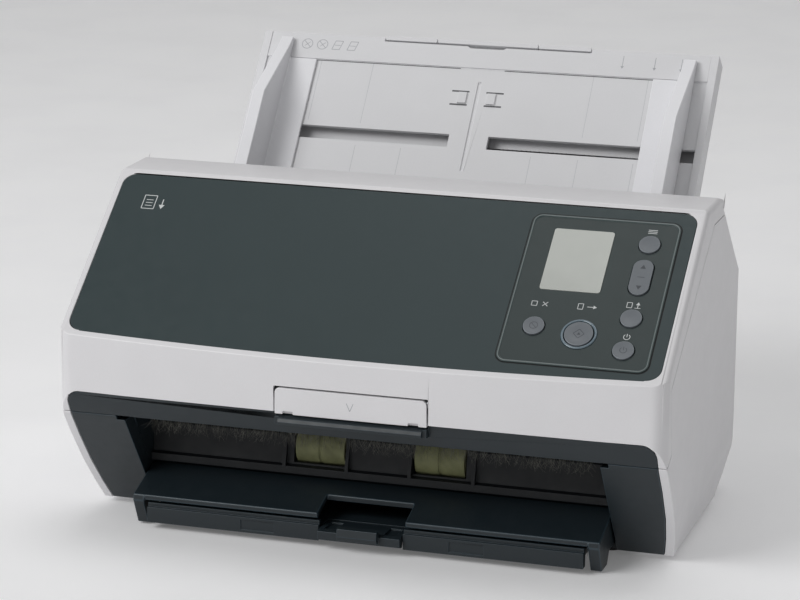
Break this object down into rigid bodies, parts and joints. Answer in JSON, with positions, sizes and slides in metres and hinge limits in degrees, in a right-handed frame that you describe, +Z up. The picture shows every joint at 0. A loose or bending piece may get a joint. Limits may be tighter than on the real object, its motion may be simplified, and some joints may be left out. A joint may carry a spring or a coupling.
{
  "type": "sheet fed document scanner",
  "caption": "Desk document scanner with a hinged reader unit, operator panel, sloping paper chute with side guides, rollers and a sliding exit stacker",
  "frame": {"origin": "On the desk under the middle of the whole machine with the chute and stacker in their stored positions", "axes": "+X to the machine's right as seen from the front, +Y to the back, +Z up"},
  "size_m": [0.3, 0.2406, 0.212],
  "materials": {
    "cover_white": "fine moulded grain",
    "chute_white": "fine moulded grain",
    "panel_slate": "fine satin texture",
    "dark_plastic": "fine moulded grain",
    "button_grey": "satin",
    "glass": "polished",
    "display": "satin film",
    "plate_steel": "sheet",
    "pin_steel": "turned",
    "rubber_black": "moulded",
    "roller_olive": "ground rubber",
    "roller_grey": "ground rubber",
    "idler_white": "smooth",
    "gear_cream": "smooth",
    "board_green": "solder mask",
    "port_metal": "plated",
    "bristle": "fine conductive bristles"
  },
  "bodies": {
    "base": {"base_tray": "dark_plastic", "left_side_cover": "cover_white", "right_side_cover": "cover_white", "rear_cover": "cover_white", "front_wings": "dark_plastic", "left_frame_plate": "plate_steel", "right_frame_plate": "plate_steel", "lower_guide": "dark_plastic", "exit_guide": "dark_plastic", "lower_glass": "glass", "lower_sensor": "dark_plastic", "main_board": "board_green", "power_inlet": "dark_plastic", "data_port": "port_metal", "network_port": "port_metal", "lock_slot_plate": "port_metal", "feed_motor": "plate_steel", "feed_belt": "rubber_black", "pick_belt": "rubber_black", "hinge_pins": "pin_steel", "rubber_feet": "rubber_black", "chute_plate": "chute_white", "chute_frame": "chute_white", "cover_screws": "pin_steel"},
    "reader": {"top_cover": "cover_white", "front_panel": "panel_slate", "operator_bezel": "dark_plastic", "display_window": "display", "display_module": "dark_plastic", "button_board": "board_green", "tab_spring": "pin_steel", "front_chin": "dark_plastic", "reader_frame": "dark_plastic", "upper_guide": "dark_plastic", "upper_glass": "glass", "upper_sensor": "dark_plastic", "brush_strip": "bristle"},
    "motor_pinion": {"motor_pinion": "gear_cream"},
    "pick_roller": {"pick_roller": "roller_olive"},
    "feed_roller": {"feed_roller": "roller_grey"},
    "exit_roller": {"exit_roller": "roller_olive"},
    "chute_extension_outer": {"chute_extension_outer": "chute_white"},
    "chute_extension_inner": {"chute_extension_inner": "chute_white"},
    "left_guide": {"left_guide": "chute_white"},
    "right_guide": {"right_guide": "chute_white"},
    "guide_pinion": {"guide_pinion": "gear_cream"},
    "stacker_tray": {"stacker_tray": "dark_plastic"},
    "stacker_extension": {"stacker_extension": "dark_plastic"},
    "stacker_stop": {"stacker_stop": "dark_plastic"},
    "menu_button": {"menu_button": "button_grey"},
    "arrow_rocker": {"arrow_rocker": "button_grey"},
    "stop_button": {"stop_button": "button_grey"},
    "scan_button": {"scan_button": "button_grey"},
    "manual_feed_button": {"manual_feed_button": "button_grey"},
    "power_button": {"power_button": "button_grey"},
    "release_tab": {"release_tab": "cover_white"},
    "brake_roller": {"brake_roller": "roller_grey"},
    "feed_idlers": {"feed_idlers": "idler_white"},
    "exit_idlers": {"exit_idlers": "idler_white"}
  },
  "joints": [
    {"name": "reader_hinge", "type": "hinge", "parent": "base", "child": "reader", "pos_m": [0, 0.00987, 0.14442], "axis": [-1, 0, 0], "range_deg": [0, 60]},
    {"name": "release_tab_hinge", "type": "hinge", "parent": "reader", "child": "release_tab", "pos_m": [0, -0.11488, 0.0812], "axis": [-1, 0, 0], "range_deg": [0, 8], "stiffness_Nm_per_rad": 0.05},
    {"name": "feed_roller_spin", "type": "hinge", "parent": "base", "child": "feed_roller", "pos_m": [0, 0.00981, 0.07518], "axis": [1, 0, 0], "continuous": true},
    {"name": "pick_roller_spin", "type": "hinge", "parent": "base", "child": "pick_roller", "pos_m": [0, 0.02803, 0.09306], "axis": [1, 0, 0], "continuous": true},
    {"name": "exit_roller_spin", "type": "hinge", "parent": "base", "child": "exit_roller", "pos_m": [0, -0.06368, 0.039], "axis": [1, 0, 0], "continuous": true},
    {"name": "motor_spin", "type": "hinge", "parent": "base", "child": "motor_pinion", "pos_m": [0, 0.03089, 0.05177], "axis": [1, 0, 0], "continuous": true},
    {"name": "brake_roller_spin", "type": "hinge", "parent": "reader", "child": "brake_roller", "pos_m": [0, 0.01161, 0.1067], "axis": [1, 0, 0], "continuous": true},
    {"name": "feed_idler_spin", "type": "hinge", "parent": "reader", "child": "feed_idlers", "pos_m": [0, -0.002, 0.08499], "axis": [1, 0, 0], "continuous": true},
    {"name": "exit_idler_spin", "type": "hinge", "parent": "reader", "child": "exit_idlers", "pos_m": [0, -0.06368, 0.05485], "axis": [1, 0, 0], "continuous": true},
    {"name": "right_guide_slide", "type": "slide", "parent": "base", "child": "right_guide", "axis": [-1, 0, 0], "range_m": [0, 0.068]},
    {"name": "left_guide_slide", "type": "slide", "parent": "base", "child": "left_guide", "axis": [1, 0, 0], "range_m": [0, 0.068]},
    {"name": "guide_pinion_spin", "type": "hinge", "parent": "base", "child": "guide_pinion", "pos_m": [0, 0.08283, 0.16533], "axis": [0, -0.7694, 0.6388], "continuous": true},
    {"name": "chute_extension_outer_slide", "type": "slide", "parent": "base", "child": "chute_extension_outer", "axis": [0, 0.6388, 0.7694], "range_m": [0, 0.03]},
    {"name": "chute_extension_inner_slide", "type": "slide", "parent": "chute_extension_outer", "child": "chute_extension_inner", "axis": [0, 0.6388, 0.7694], "range_m": [0, 0.018]},
    {"name": "stacker_tray_slide", "type": "slide", "parent": "base", "child": "stacker_tray", "axis": [0, -1, 0], "range_m": [0, 0.06]},
    {"name": "stacker_extension_slide", "type": "slide", "parent": "stacker_tray", "child": "stacker_extension", "axis": [0, -1, 0], "range_m": [0, 0.055]},
    {"name": "stacker_stop_hinge", "type": "hinge", "parent": "stacker_extension", "child": "stacker_stop", "pos_m": [0, -0.09028, 0.0085], "axis": [-1, 0, 0], "range_deg": [0, 80]},
    {"name": "menu_button_press", "type": "slide", "parent": "reader", "child": "menu_button", "axis": [0, 0.6101, -0.7923], "range_m": [0, 0.001], "stiffness_N_per_m": 400},
    {"name": "stop_button_press", "type": "slide", "parent": "reader", "child": "stop_button", "axis": [0, 0.6101, -0.7923], "range_m": [0, 0.001], "stiffness_N_per_m": 400},
    {"name": "scan_button_press", "type": "slide", "parent": "reader", "child": "scan_button", "axis": [0, 0.6101, -0.7923], "range_m": [0, 0.001], "stiffness_N_per_m": 400},
    {"name": "manual_feed_button_press", "type": "slide", "parent": "reader", "child": "manual_feed_button", "axis": [0, 0.6101, -0.7923], "range_m": [0, 0.001], "stiffness_N_per_m": 400},
    {"name": "power_button_press", "type": "slide", "parent": "reader", "child": "power_button", "axis": [0, 0.6101, -0.7923], "range_m": [0, 0.001], "stiffness_N_per_m": 400},
    {"name": "arrow_rocker_tilt", "type": "hinge", "parent": "reader", "child": "arrow_rocker", "pos_m": [0.1256, -0.0639, 0.13419], "axis": [1, 0, 0], "range_deg": [-4, 4], "stiffness_Nm_per_rad": 0.05}
  ],
  "couplings": [
    {"joint": "pick_roller_spin", "follows": "feed_roller_spin", "ratio": 1},
    {"joint": "exit_roller_spin", "follows": "feed_roller_spin", "ratio": 1},
    {"joint": "motor_spin", "follows": "feed_roller_spin", "ratio": -3.1667},
    {"joint": "left_guide_slide", "follows": "right_guide_slide", "ratio": 1},
    {"joint": "guide_pinion_spin", "follows": "right_guide_slide", "rad_per_m": -218.17}
  ]
}
